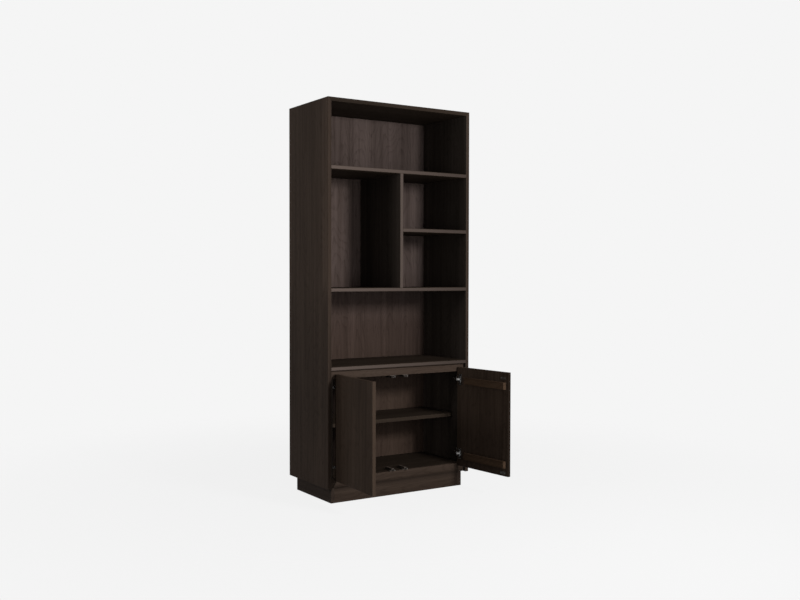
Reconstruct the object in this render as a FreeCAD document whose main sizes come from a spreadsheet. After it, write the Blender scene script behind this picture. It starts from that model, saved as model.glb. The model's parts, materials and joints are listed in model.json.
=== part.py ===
"""A tall free-standing bookcase with a two-door cabinet in its foot.

Millimetres, +Z up, front towards -Y. The origin is on the floor, under the centre of the carcass.
The doors stand open at their rest angles, each carried by two cup hinges with a link and two pins.
"""
import FreeCAD, Part
import Sketcher
import os
import re

Vector = FreeCAD.Vector

# Driving sizes: alias, value in millimetres (degrees for angles), and what it is
SIZES = (
    ("width", "900", "over the side panels"),
    ("depth", "445", "front edge to rear edge of the side panels"),
    ("side_thick", "20", "side panels and top panel"),
    ("shelf_thick", "19", "shelves, cabinet top and bottom panel"),
    ("divider_thick", "19", "upright between the two upper bays"),
    ("edge_ease", "1", "rounding of the long edges"),
    ("top_bay", "328", "clear height between the upper shelf and the top panel"),
    ("tall_bay", "613", "clear height beside the divider"),
    ("short_bay", "301", "clear height under the short shelf right of the divider"),
    ("lower_bay", "389", "clear height between the cabinet top and the middle shelf"),
    ("cabinet_bay", "564", "clear height inside the cabinet"),
    ("loose_rise", "252", "bottom panel to the underside of the loose shelf"),
    ("back_thick", "8", "back panel"),
    ("back_recess", "14", "rear edges of the sides to the back panel"),
    ("groove_depth", "8", "groove that takes the back panel"),
    ("board_fit", "0.5", "play of the back panel in its groove"),
    ("frame_setback", "22", "front plane to the face frame behind the doors"),
    ("rail_thick", "19", "header rail and bottom rail"),
    ("header_height", "45", "header rail"),
    ("stile_width", "20", "hinge posts, across"),
    ("stile_depth", "80", "hinge posts, front to back"),
    ("cleat_width", "40", "cleats under the bottom panel"),
    ("cleat_height", "30", "cleats under the bottom panel"),
    ("plinth_height", "80", "floor to the underside of the carcass"),
    ("plinth_thick", "20", "plinth boards"),
    ("plinth_side_inset", "32", "plinth behind the outer side faces"),
    ("plinth_front_inset", "26", "plinth behind the front plane"),
    ("plinth_back_inset", "28", "plinth before the rear plane"),
    ("block_leg", "40", "legs of the corner blocks in the plinth"),
    ("block_height", "60", "corner blocks"),
    ("inner_setback", "108", "front plane to the loose shelf"),
    ("inner_gap", "1", "play of the loose shelf at its ends and rear"),
    ("peg_radius", "2.5", "pegs under the loose shelf"),
    ("peg_sink", "9", "peg in the side panel"),
    ("peg_reach", "9", "peg out of the side panel"),
    ("peg_inset", "40", "pegs from the loose shelf's front and rear edges"),
    ("dowel_radius", "4", "dowels"),
    ("dowel_outer", "12", "dowel in the board that a shelf or the divider meets"),
    ("dowel_inner", "18", "dowel in the shelf's or divider's own end"),
    ("dowel_inset", "70", "dowels from the front and rear edges"),
    ("dowel_fit", "0.05", "play round pegs and dowels"),
    ("screw_radius", "1.75", "all wood screws"),
    ("screw_fit", "0.1", "play of a screw in a metal plate"),
    ("head_radius", "3.4", "screw heads"),
    ("head_height", "1.2", "screw heads"),
    ("long_screw", "30", "shank of the back panel's screws"),
    ("short_screw", "13", "shank of the fittings' screws"),
    ("bracket_spacing", "600", "between the two wall brackets"),
    ("bracket_width", "30", "wall brackets"),
    ("bracket_thick", "2", "wall brackets"),
    ("bracket_drop", "35", "upright leg of a wall bracket"),
    ("bracket_hole", "2.75", "radius of the wall fixing holes"),
    ("bracket_hole_drop", "22", "fixing holes below the top panel's underside"),
    ("door_thick", "18", "doors"),
    ("door_reveal", "21", "side panel to the closed door's hinge edge"),
    ("door_top_reveal", "20", "cabinet top's underside to the doors"),
    ("door_bottom_reveal", "38", "underside of the carcass to the doors"),
    ("meeting_gap", "3", "between the closed doors"),
    ("left_angle", "92.8", "left door's opening at rest, in degrees"),
    ("right_angle", "95.1", "right door's opening at rest, in degrees"),
    ("batten_start", "60", "hinge edge to the battens"),
    ("batten_end", "17.5", "free edge to the battens"),
    ("batten_height", "38", "battens"),
    ("batten_thick", "12", "battens"),
    ("batten_bevel", "8", "bevelled ends of the battens"),
    ("upper_batten_drop", "73", "door's top edge to the middle of the upper batten"),
    ("lower_batten_rise", "62", "door's bottom edge to the middle of the lower batten"),
    ("hinge_inset", "69", "door ends to the hinge centres"),
    ("cup_radius", "17.5", "hinge cup, outside"),
    ("cup_depth", "13", "hinge cup"),
    ("cup_wall", "0.7", "hinge cup's wall and floor"),
    ("cup_edge", "3", "wood between the cup and the door's hinge edge"),
    ("flange_start", "10", "door's hinge edge to the cup's flange"),
    ("flange_width", "26", "flange of the cup"),
    ("flange_height", "62", "flange of the cup"),
    ("flange_thick", "1.2", "flange of the cup"),
    ("flange_screw_rise", "25", "flange screws from the hinge centre"),
    ("cup_pin_inset", "14.5", "door's hinge edge to the cup pin"),
    ("cup_pin_depth", "9", "door's outer face to the cup pin"),
    ("hinge_pin_radius", "1.5", "both pins of a hinge"),
    ("running_fit", "0.05", "play of a turning pin"),
    ("link_length", "18.5", "cup pin to arm pin"),
    ("link_share", "0.33", "link's turn as a share of the door's turn"),
    ("link_half_thick", "1.5", "link's bar"),
    ("link_eye", "3", "eyes of the link and the arm, radius"),
    ("link_half_height", "4.5", "link"),
    ("link_slot", "4", "radius of the slot in the link round the arm's eye"),
    ("slot_fit", "0.2", "play of the arm's eye between the link's lugs"),
    ("eye_half_height", "2.5", "arm's eye and neck"),
    ("arm_thick", "2.5", "hinge arm's strip"),
    ("arm_half_height", "6", "hinge arm's strip"),
    ("arm_cross", "17", "arm pin to the strip that crosses to the plate"),
    ("arm_neck", "5.5", "arm pin to the full height of the strip"),
    ("arm_leg", "50", "arm's leg along the plate"),
    ("plate_thick", "4", "hinge plate"),
    ("plate_length", "44", "hinge plate"),
    ("plate_height", "16", "hinge plate"),
    ("plate_setback", "6", "stile's front to the hinge plate"),
    ("plate_wing", "14", "wings of the hinge plate, front to back"),
    ("plate_wing_height", "48", "over the wings of the hinge plate"),
    ("plate_screw_rise", "16", "plate screws from the hinge centre"),
    ("latch_offset", "40", "push latches from the middle of the cabinet"),
    ("latch_size", "14", "latch housing, square"),
    ("latch_length", "66", "latch housing"),
    ("latch_setback", "2", "face frame's front to the latch housing"),
    ("latch_end", "6", "latch housing's closed end"),
    ("ear_reach", "17", "latch ears from the latch's middle"),
    ("ear_depth", "16", "latch ears"),
    ("ear_thick", "2.5", "latch ears"),
    ("ear_screw", "12", "latch screws from the latch's middle"),
    ("plunger_radius", "4", "plunger"),
    ("plunger_length", "60", "plunger"),
    ("plunger_round", "3", "rounded tip of the plunger"),
    ("plunger_stroke", "18", "plunger's travel"),
    ("spring_radius", "3", "spring behind the plunger, outside"),
    ("spring_wall", "0.8", "wire of the spring"),
    ("strike_width", "40", "strike plates on the doors"),
    ("strike_height", "14", "strike plates"),
    ("strike_thick", "1.2", "strike plates"),
    ("strike_screw", "13", "strike screws from the plate's middle"),
    ("strike_gap", "0.3", "closed door's strike plate to the plunger"),
)

# Places worked out from the driving sizes
PLACES = {
    "inner_half": "width / 2 - side_thick",
    "front": "-depth / 2",
    "rear": "depth / 2",
    "back_rear": "rear - back_recess",
    "back_face": "back_rear - back_thick",
    "bottom_under": "plinth_height + cleat_height",
    "bottom_level": "bottom_under + shelf_thick",
    "header_top": "bottom_level + cabinet_bay",
    "cabinet_level": "header_top + shelf_thick",
    "middle_level": "cabinet_level + lower_bay + shelf_thick",
    "small_level": "middle_level + short_bay + shelf_thick",
    "upper_level": "middle_level + tall_bay + shelf_thick",
    "top_under": "upper_level + top_bay",
    "height": "top_under + side_thick",
    "inner_under": "bottom_level + loose_rise",
    "bracket_middle": "(back_rear + board_fit + rear - bracket_thick) / 2",
    "frame_front": "front + frame_setback",
    "frame_rear": "frame_front + rail_thick",
    "header_under": "header_top - header_height",
    "rear_cleat_front": "back_face - cleat_width",
    "plinth_half": "width / 2 - plinth_side_inset",
    "plinth_inner": "plinth_half - plinth_thick",
    "plinth_front_inner": "front + plinth_front_inset + plinth_thick",
    "plinth_back_inner": "rear - plinth_back_inset - plinth_thick",
    "block_low": "plinth_height - block_height",
    "inner_front": "front + inner_setback",
    "inner_rear": "back_face - inner_gap",
    "door_low": "plinth_height + door_bottom_reveal",
    "door_high": "header_top - door_top_reveal",
    "door_width": "inner_half - door_reveal - meeting_gap / 2",
    "low_hinge": "door_low + hinge_inset",
    "high_hinge": "door_high - hinge_inset",
    "arm_pin_in": "door_reveal + cup_pin_inset + link_length",
    "arm_pin_y": "front + cup_pin_depth",
    "door_inner": "door_thick - cup_pin_depth",
    "cup_middle": "cup_edge + cup_radius - cup_pin_inset",
    "cup_floor": "door_inner - cup_depth",
    "cup_bore": "cup_radius - cup_wall",
    "flange_low": "flange_start - cup_pin_inset",
    "flange_high": "flange_low + flange_width",
    "flange_face": "door_inner + flange_thick",
    "cup_pin_side": "cup_middle + hinge_pin_radius",
    "cup_pin_reach": "sqrt(cup_radius * cup_radius - cup_pin_side * cup_pin_side)",
    "plate_face": "stile_width + plate_thick",
    "leg_face": "plate_face + arm_thick",
    "cross_front": "arm_pin_y + arm_cross",
    "cross_rear": "cross_front + arm_thick",
    "plate_front": "frame_front + plate_setback",
    "plate_middle": "plate_front + plate_length / 2",
    "latch_front": "frame_front + latch_setback",
    "latch_rear": "latch_front + latch_length",
    "latch_high": "header_under - latch_size / 2",
    "latch_low": "bottom_level + latch_size / 2",
    "plunger_bore": "plunger_radius + running_fit",
    "plunger_tip": "front + door_thick + strike_thick + strike_gap - plunger_stroke",
    "plunger_end": "plunger_tip + plunger_length",
    "strike_middle": "inner_half - latch_offset - door_reveal - cup_pin_inset",
}

SIDES = ("left", "right")
HINGES = ("low_hinge", "high_hinge")
SCREWED_LEVELS = ("upper_level", "middle_level", "cabinet_level", "bottom_level")
BACK_SCREW_SHARES = (-0.4, 0, 0.4)
ORIGIN = ("0", "0", "0")
WAYS = {
    "+X": Vector(1, 0, 0),
    "-X": Vector(-1, 0, 0),
    "+Y": Vector(0, 1, 0),
    "-Y": Vector(0, -1, 0),
    "+Z": Vector(0, 0, 1),
    "-Z": Vector(0, 0, -1),
}

doc = FreeCAD.newDocument("bookcase")
sheet = doc.addObject("Spreadsheet::Sheet", "sizes")
parts = []


def fill_sheet():
    for row, (alias, number, note) in enumerate(SIZES, 1):
        sheet.set("A%d" % row, alias)
        sheet.set("B%d" % row, number)
        sheet.set("C%d" % row, note)
        sheet.setAlias("B%d" % row, alias)
    doc.recompute()


def formula(text):
    """Writes named sizes and places as an expression on the sheet's cells."""
    def cell(match):
        word = match.group()
        if word in PLACES:
            return "(" + formula(PLACES[word]) + ")"
        return word if word in ("sqrt", "cos", "sin") else "sizes." + word
    return re.sub(r"[a-z][a-z_]*", cell, text)


def value(text):
    return float(sheet.evalExpression(formula(text)))


def point(texts):
    return Vector(*[value(text) for text in texts])


def bind(thing, texts):
    """Ties each named property of an object to its formula."""
    for name, text in texts.items():
        thing.setExpression(name, formula(text))


def base(texts):
    return {"Placement.Base." + axis: text for axis, text in zip("xyz", texts)}


def inward(side, start, end, zero="inner_half"):
    """Gives the X range of two distances measured from one side towards the middle."""
    if side == "left":
        return "-(%s) + (%s)" % (zero, start), "-(%s) + (%s)" % (zero, end)
    return "(%s) - (%s)" % (zero, end), "(%s) - (%s)" % (zero, start)


def inward_at(side, distance, zero="inner_half"):
    return inward(side, distance, distance, zero)[0]


class Rest:
    """Where a group of pieces is put: a turn about Z, then a move to a point."""

    def __init__(self, spot, way="+Z", angle=None):
        self.spot = spot
        self.way = WAYS[way]
        self.angle = angle

    def tie(self, body):
        if self.angle:
            body.Placement = FreeCAD.Placement(Vector(), FreeCAD.Rotation(self.way, 1))
            bind(body, {"Placement.Rotation.Angle": self.angle})
        bind(body, base(self.spot))

    def placement(self):
        turn = FreeCAD.Rotation(self.way, value(self.angle)) if self.angle else FreeCAD.Rotation()
        return FreeCAD.Placement(point(self.spot), turn)


class Piece:
    """One sub-part: a body drawn from its own corner, or from the axis of the group that carries it."""

    def __init__(self, label, corner=ORIGIN, rest=None):
        self.body = doc.addObject("PartDesign::Body", label)
        self.body.Label = label
        self.zero = ORIGIN if rest else corner
        (rest or Rest(corner)).tie(self.body)
        parts.append(self.body)

    def feature(self, kind, name):
        return self.body.newObject(kind, self.body.Label + "_" + name)

    def local(self, spot):
        return ["(%s) - (%s)" % pair for pair in zip(spot, self.zero)]

    def prism(self, plane, points, length):
        """Draws an outline from the body's own origin and pads it towards +X, +Y or +Z."""
        sketch = self.feature("Sketcher::SketchObject", "outline")
        faces = [face for face in self.body.Origin.OriginFeatures if face.Role == plane]
        sketch.AttachmentSupport = [(faces[0], "")]
        sketch.MapMode = "FlatFace"
        corners = [point((across, up, "0")) for across, up in points]
        count = len(corners)
        for index in range(count):
            sketch.addGeometry(Part.LineSegment(corners[index], corners[(index + 1) % count]), False)
        for index in range(count):
            sketch.addConstraint(Sketcher.Constraint("Coincident", index, 2, (index + 1) % count, 1))
        for index, (across, up) in enumerate(points):
            for kind, axis, text in (("DistanceX", -2, across), ("DistanceY", -1, up)):
                if text == "0":
                    sketch.addConstraint(Sketcher.Constraint("PointOnObject", index, 1, axis))
                    continue
                place = sketch.addConstraint(Sketcher.Constraint(kind, -1, 1, index, 1, value(text)))
                sketch.setExpression("Constraints[%d]" % place, formula(text))
        pad = self.feature("PartDesign::Pad", "pad")
        pad.Profile = sketch
        pad.Reversed = plane == "XZ_Plane"
        bind(pad, {"Length": length})
        return self

    def slab(self, across, deep, tall):
        return self.prism("XY_Plane", [("0", "0"), (across, "0"), (across, deep), ("0", deep)], tall)

    def round_edges(self, radius, choose):
        """Rounds the edges of the last feature whose directions or places are chosen."""
        doc.recompute()
        last = self.body.Tip
        names = ["Edge%d" % number for number, edge in enumerate(last.Shape.Edges, 1) if choose(edge)]
        rounding = self.feature("PartDesign::Fillet", "rounding")
        rounding.Base = (last, names)
        bind(rounding, {"Radius": radius})
        return self

    def ease(self, axis):
        """Rounds the long edges that run along one axis."""
        def runs(edge):
            return edge.tangentAt(edge.FirstParameter).cross(WAYS["+" + axis]).Length < edge.Tolerance

        return self.round_edges("edge_ease", runs)

    def box(self, kind, low, high):
        block = self.feature("PartDesign::%sBox" % kind, "block")
        for name, start, end in zip(("Length", "Width", "Height"), low, high):
            bind(block, {name: "(%s) - (%s)" % (end, start)})
        bind(block, base(self.local(low)))
        return self

    def rod(self, kind, start, way, radius, length):
        """Adds or cuts a cylinder that starts at a point and runs one way."""
        rod = self.feature("PartDesign::%sCylinder" % kind, "rod")
        rod.Placement = FreeCAD.Placement(Vector(), FreeCAD.Rotation(WAYS["+Z"], WAYS[way]))
        bind(rod, {"Radius": radius, "Height": length})
        bind(rod, base(self.local(start)))
        return self

    def drill(self, start, way, radius, length):
        return self.rod("Subtractive", start, way, radius, length)


def group(label, solids, rest=None):
    """Keeps like fasteners as separate solids of one sub-part."""
    feature = doc.addObject("Part::Feature", label)
    feature.Label = label
    feature.Shape = Part.makeCompound(solids)
    feature.Placement = (rest or Rest(ORIGIN)).placement()
    parts.append(feature)


def rod_solid(start, way, radius, length):
    return Part.makeCylinder(value(radius), value(length), point(start), WAYS[way])


def screw(seat, way, length):
    """A screw whose head sits on its seat and whose shank runs one way."""
    head = rod_solid(seat, way, "head_radius", "head_height")
    head.translate(WAYS[way] * -value("head_height"))
    return head.fuse(rod_solid(seat, way, "screw_radius", length)).Solids[0]


# Dowel joints

def dowel_rows():
    """Lists every dowel: the two boards, its point on the joint, and its way into the inner board."""
    rows = []
    for level, board in (("upper_level", "upper_shelf"), ("middle_level", "middle_shelf"),
                         ("cabinet_level", "cabinet_top"), ("bottom_level", "bottom_panel")):
        front_edge = "frame_rear" if board == "bottom_panel" else "front"
        for depth in (front_edge + " + dowel_inset", "back_face - dowel_inset"):
            tall = level + " - shelf_thick / 2"
            rows.append(("left_side_panel", board, ("-inner_half", depth, tall), "+X"))
            rows.append(("right_side_panel", board, ("inner_half", depth, tall), "-X"))
    for depth in ("front + dowel_inset", "back_face - dowel_inset"):
        tall = "small_level - shelf_thick / 2"
        rows.append(("divider", "small_shelf", ("divider_thick / 2", depth, tall), "+X"))
        rows.append(("right_side_panel", "small_shelf", ("inner_half", depth, tall), "-X"))
        rows.append(("upper_shelf", "divider", ("0", depth, "upper_level - shelf_thick"), "-Z"))
        rows.append(("middle_shelf", "divider", ("0", depth, "middle_level"), "+Z"))
    return rows


OPPOSITE = {"+X": "-X", "-X": "+X", "+Z": "-Z", "-Z": "+Z"}


def drill_dowels(piece):
    """Bores a board for each dowel that enters it."""
    label = piece.body.Label
    bore = "dowel_radius + dowel_fit"
    for outer, inner, spot, way in dowel_rows():
        if label == outer:
            piece.drill(spot, OPPOSITE[way], bore, outer_dowel(outer))
        if label == inner:
            piece.drill(spot, way, bore, "dowel_inner")


def outer_dowel(board):
    """The divider and the shelves are bored half as deep as the side panels, short of their far faces."""
    return "dowel_outer" if board.endswith("side_panel") else "dowel_outer / 2"


def dowels():
    solids = []
    for outer, inner, spot, way in dowel_rows():
        dowel = rod_solid(spot, way, "dowel_radius", outer_dowel(outer) + " + dowel_inner")
        dowel.translate(WAYS[way] * -value(outer_dowel(outer)))
        solids.append(dowel)
    group("dowels", solids)


# Carcass

def side_panels():
    """Mitred to the top panel, grooved for the back panel, bored for dowels and pegs."""
    for side in SIDES:
        outer = "height - plinth_height"
        inner = "top_under - plinth_height"
        left_edge, right_edge = (outer, inner) if side == "left" else (inner, outer)
        x_low = inward(side, "-side_thick", "0")[0]
        piece = Piece(side + "_side_panel", (x_low, "front", "plinth_height"))
        piece.prism("XZ_Plane", [("0", "0"), ("side_thick", "0"), ("side_thick", right_edge),
                                 ("0", left_edge)], "depth")
        piece.ease("Z")
        low, high = inward(side, "-groove_depth", "0")
        piece.box("Subtractive", (low, "back_face", "plinth_height"),
                  (high, "back_rear + board_fit", "height"))
        drill_dowels(piece)
        for depth in ("inner_front + peg_inset", "inner_rear - peg_inset"):
            start = (inward_at(side, "0"), depth, "inner_under - peg_radius")
            piece.drill(start, "-X" if side == "left" else "+X", "peg_radius + dowel_fit", "peg_sink")


def top_panel():
    piece = Piece("top_panel", ("-width / 2", "front", "top_under"))
    piece.prism("XZ_Plane", [("side_thick", "0"), ("width - side_thick", "0"), ("width", "side_thick"),
                             ("0", "side_thick")], "depth")
    piece.ease("X")
    reach = "inner_half + groove_depth"
    piece.box("Subtractive", ("-(%s)" % reach, "back_face", "top_under"),
              (reach, "back_rear + board_fit", "top_under + groove_depth"))


def shelves():
    """The four full-width boards and the short shelf, doweled into their neighbours."""
    rows = (
        ("upper_shelf", "-inner_half", "front", "upper_level"),
        ("small_shelf", "divider_thick / 2", "front", "small_level"),
        ("middle_shelf", "-inner_half", "front", "middle_level"),
        ("cabinet_top", "-inner_half", "front", "cabinet_level"),
        ("bottom_panel", "-inner_half", "frame_rear", "bottom_level"),
    )
    for label, x_low, y_low, level in rows:
        piece = Piece(label, (x_low, y_low, level + " - shelf_thick"))
        piece.slab("inner_half - (%s)" % x_low, "back_face - (%s)" % y_low, "shelf_thick")
        piece.ease("X")
        drill_dowels(piece)


def divider():
    piece = Piece("divider", ("-divider_thick / 2", "front", "middle_level"))
    piece.slab("divider_thick", "back_face - front", "upper_level - shelf_thick - middle_level")
    piece.ease("Z")
    drill_dowels(piece)


def back_panel():
    half = "inner_half + groove_depth - board_fit"
    piece = Piece("back_panel", ("-(%s)" % half, "back_face", "plinth_height"))
    piece.slab("2 * (%s)" % half, "back_thick", "top_under + groove_depth - board_fit - plinth_height")


def face_frame():
    """Header rail, bottom rail and the two hinge posts, behind the closed doors."""
    rails = (("header_rail", "header_under", "header_top"), ("bottom_rail", "plinth_height", "bottom_level"))
    for label, low, high in rails:
        piece = Piece(label, ("-inner_half", "frame_front", low))
        piece.slab("2 * inner_half", "rail_thick", "(%s) - (%s)" % (high, low))
        piece.ease("X")
    for side in SIDES:
        piece = Piece(side + "_stile", (inward(side, "0", "stile_width")[0], "frame_front", "bottom_level"))
        piece.slab("stile_width", "stile_depth", "header_under - bottom_level")
        piece.ease("Z")


def loose_shelf():
    half = "inner_half - inner_gap"
    piece = Piece("cabinet_shelf", ("-(%s)" % half, "inner_front", "inner_under"))
    piece.slab("2 * (%s)" % half, "inner_rear - inner_front", "shelf_thick")
    piece.ease("X")
    pegs = []
    for side in SIDES:
        for depth in ("inner_front + peg_inset", "inner_rear - peg_inset"):
            start = (inward(side, "-peg_sink", "peg_reach")[0], depth, "inner_under - peg_radius")
            pegs.append(rod_solid(start, "+X", "peg_radius", "peg_sink + peg_reach"))
    group("shelf_pegs", pegs)


def cleats():
    for side in SIDES:
        piece = Piece(side + "_cleat", (inward(side, "0", "cleat_width")[0], "frame_rear", "plinth_height"))
        piece.slab("cleat_width", "rear_cleat_front - frame_rear", "bottom_under - plinth_height")
    piece = Piece("rear_cleat", ("-inner_half", "rear_cleat_front", "plinth_height"))
    piece.slab("2 * inner_half", "cleat_width", "bottom_under - plinth_height")


# Plinth

def plinth():
    run = "depth - plinth_front_inset - plinth_back_inset"
    for side in SIDES:
        low = inward(side, "0", "plinth_thick", "plinth_half")[0]
        piece = Piece("plinth_" + side, (low, "front + plinth_front_inset", "0"))
        piece.slab("plinth_thick", run, "plinth_height")
        piece.ease("Z")
    boards = (("plinth_front", "front + plinth_front_inset"), ("plinth_back", "plinth_back_inner"))
    for label, depth in boards:
        piece = Piece(label, ("-plinth_inner", depth, "0"))
        piece.slab("2 * plinth_inner", "plinth_thick", "plinth_height")
    piece = Piece("plinth_centre_rail", ("-plinth_thick / 2", "plinth_front_inner", "0"))
    piece.slab("plinth_thick", "plinth_back_inner - plinth_front_inner", "plinth_height")
    corner_blocks()


def corner_blocks():
    """A triangular block in each inner corner of the plinth, up against the cleats."""
    blocks = []
    leg = value("block_leg")
    for across in (-1, 1):
        for deep, edge in ((-1, "plinth_front_inner"), (1, "plinth_back_inner")):
            corner = Vector(across * value("plinth_inner"), value(edge), value("block_low"))
            ends = (corner, corner - Vector(across * leg, 0, 0), corner - Vector(0, deep * leg, 0))
            face = Part.Face(Part.makePolygon([*ends, corner]))
            blocks.append(face.extrude(Vector(0, 0, value("block_height"))))
    group("plinth_corner_blocks", blocks)


# Screws and wall brackets of the carcass

def back_screws():
    """Screws through the back panel into the rear edges of the fixed shelves."""
    solids = []
    for level in SCREWED_LEVELS:
        for share in BACK_SCREW_SHARES:
            seat = ("width * %s" % share, "back_rear", level + " - shelf_thick / 2")
            solids.append(screw(seat, "-Y", "long_screw"))
    for middle in ("-bracket_spacing / 2", "bracket_spacing / 2"):
        seat = (middle, "bracket_middle", "top_under - bracket_thick")
        solids.append(screw(seat, "+Z", "short_screw"))
    group("back_screws", solids)


def wall_brackets():
    """Two angles under the top panel's rear edge, flush with the rear plane."""
    piece = Piece("wall_brackets")
    for middle in ("-bracket_spacing / 2", "bracket_spacing / 2"):
        low = middle + " - bracket_width / 2"
        high = middle + " + bracket_width / 2"
        under = "top_under - bracket_thick"
        piece.box("Additive", (low, "back_rear + board_fit", under), (high, "rear", "top_under"))
        piece.box("Additive", (low, "rear - bracket_thick", "top_under - bracket_drop"),
                  (high, "rear", "top_under"))
        piece.drill((middle, "rear - 2 * bracket_thick", "top_under - bracket_hole_drop"), "+Y",
                    "bracket_hole", "3 * bracket_thick")
        piece.drill((middle, "bracket_middle", "top_under - 2 * bracket_thick"), "+Z",
                    "screw_radius + screw_fit", "3 * bracket_thick")


# Hinges

def hinge_plates():
    """A plate with two wings on the inner face of each hinge post, and the screws of plates and arms."""
    piece = Piece("hinge_plates")
    screws = []
    for side in SIDES:
        out = "-X" if side == "left" else "+X"
        low, high = inward(side, "stile_width", "plate_face")
        for level in HINGES:
            for length, height in (("plate_length", "plate_height"), ("plate_wing", "plate_wing_height")):
                piece.box("Additive",
                          (low, "plate_middle - %s / 2" % length, "%s - %s / 2" % (level, height)),
                          (high, "plate_middle + %s / 2" % length, "%s + %s / 2" % (level, height)))
            for rise in ("-plate_screw_rise", "plate_screw_rise"):
                seat = (inward_at(side, "plate_face"), "plate_middle", level + " + " + rise)
                piece.drill(seat, out, "screw_radius + screw_fit", "plate_thick")
                screws.append(screw(seat, out, "short_screw"))
            seat = (inward_at(side, "leg_face"), "plate_middle", level)
            piece.drill(seat, out, "screw_radius + screw_fit", "arm_thick + plate_thick")
            screws.append(screw(seat, out, "arm_thick + plate_thick"))
    group("hinge_screws", screws)


def hinge_arms(side):
    """Cranked strips from the plates forward into the cups, each ending in an eye round its pin."""
    piece = Piece(side + "_hinge_arms")
    out = "-X" if side == "left" else "+X"
    for level in HINGES:
        near, far = "arm_pin_in - arm_thick / 2", "arm_pin_in + arm_thick / 2"
        bars = (
            ("plate_face", "leg_face", "cross_front", "cross_front + arm_leg", "arm_half_height"),
            ("plate_face", far, "cross_front", "cross_rear", "arm_half_height"),
            (near, far, "arm_pin_y + arm_neck", "cross_rear", "arm_half_height"),
            (near, far, "arm_pin_y", "cross_rear", "eye_half_height"),
        )
        for start, end, front, rear, half in bars:
            low, high = inward(side, start, end)
            piece.box("Additive", (low, front, "%s - %s" % (level, half)),
                      (high, rear, "%s + %s" % (level, half)))
        eye = (inward_at(side, "arm_pin_in"), "arm_pin_y", level + " - eye_half_height")
        piece.rod("Additive", eye, "+Z", "link_eye", "2 * eye_half_height")
        piece.drill(eye, "+Z", "hinge_pin_radius", "2 * eye_half_height")
        seat = (inward_at(side, "leg_face"), "plate_middle", level)
        piece.drill(seat, out, "screw_radius + screw_fit", "arm_thick")


def arm_pins():
    """Pins pressed in the arms' eyes, on which the links turn."""
    pins = []
    for side in SIDES:
        for level in HINGES:
            start = (inward_at(side, "arm_pin_in"), "arm_pin_y", level + " - link_half_height")
            pins.append(rod_solid(start, "+Z", "hinge_pin_radius", "2 * link_half_height"))
    group("hinge_arm_pins", pins)


def link_rest(side):
    """The links' place: on the arm pins, turned forward by their share of the door's turn."""
    way = "+Z" if side == "left" else "-Z"
    return Rest((inward_at(side, "arm_pin_in"), "arm_pin_y", "0"), way, "link_share * %s_angle" % side)


def hinge_links(side):
    """Bars from the arm pin to the cup pin, slotted round the arm's eye."""
    piece = Piece(side + "_hinge_links", rest=link_rest(side))
    low, high = inward(side, "-link_length", "0", "0")
    cup_end = inward_at(side, "-link_length", "0")
    for level in HINGES:
        bottom = level + " - link_half_height"
        piece.box("Additive", (low, "-link_half_thick", bottom),
                  (high, "link_half_thick", level + " + link_half_height"))
        for end in ("0", cup_end):
            piece.rod("Additive", (end, "0", bottom), "+Z", "link_eye", "2 * link_half_height")
        for end in ("0", cup_end):
            piece.drill((end, "0", bottom), "+Z", "hinge_pin_radius + running_fit", "2 * link_half_height")
        piece.drill(("0", "0", level + " - eye_half_height - slot_fit"), "+Z", "link_slot",
                    "2 * (eye_half_height + slot_fit)")


# Doors, drawn from the cup pins' axis with the door closed

def door_rest(side):
    """The door's place: on the ends of its turned links, swung open by its rest angle."""
    turn = "link_share * %s_angle" % side
    x = inward_at(side, "arm_pin_in - link_length * cos(%s)" % turn)
    way = "-Z" if side == "left" else "+Z"
    return Rest((x, "arm_pin_y - link_length * sin(%s)" % turn, "0"), way, side + "_angle")


def along(side, start, end):
    """Gives the X range of two distances from the cup pins towards the door's free edge."""
    return inward(side, start, end, "0")


def along_at(side, distance):
    return inward_at(side, distance, "0")


def door_panel(side):
    rest = door_rest(side)
    piece = Piece(side + "_door_panel", rest=rest)
    low, high = along(side, "-cup_pin_inset", "door_width - cup_pin_inset")
    piece.box("Additive", (low, "-cup_pin_depth", "door_low"), (high, "door_inner", "door_high"))
    piece.round_edges("edge_ease", lambda edge: True)
    for level in HINGES:
        middle = (along_at(side, "cup_middle"), "cup_floor", level)
        piece.drill(middle, "+Y", "cup_radius", "cup_depth")


def battens(side):
    """Two bevelled boards across the inner face of a door."""
    rest = door_rest(side)
    run = "door_width - batten_start - batten_end"
    rows = (("upper", "door_high - upper_batten_drop"), ("lower", "door_low + lower_batten_rise"))
    for name, middle in rows:
        piece = Piece("%s_%s_batten" % (side, name), rest=batten_rest(rest, side, middle))
        piece.prism("XY_Plane", [("0", "0"), (run, "0"), (run + " - batten_bevel", "batten_thick"),
                                 ("batten_bevel", "batten_thick")], "batten_height")


def batten_rest(rest, side, middle):
    """Carries a batten's own corner, at its low end on the door's inner face, round with the door."""
    x = along(side, "batten_start - cup_pin_inset", "door_width - batten_end - cup_pin_inset")[0]
    turn = side + "_angle"
    sign = "-" if side == "left" else ""
    spot_x = "%s + (%s) * cos(%s) - (door_inner) * sin(%s%s)" % (rest.spot[0], x, turn, sign, turn)
    spot_y = "%s + (%s) * sin(%s%s) + (door_inner) * cos(%s)" % (rest.spot[1], x, sign, turn, turn)
    way = "-Z" if side == "left" else "+Z"
    return Rest((spot_x, spot_y, middle + " - batten_height / 2"), way, turn)


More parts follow.
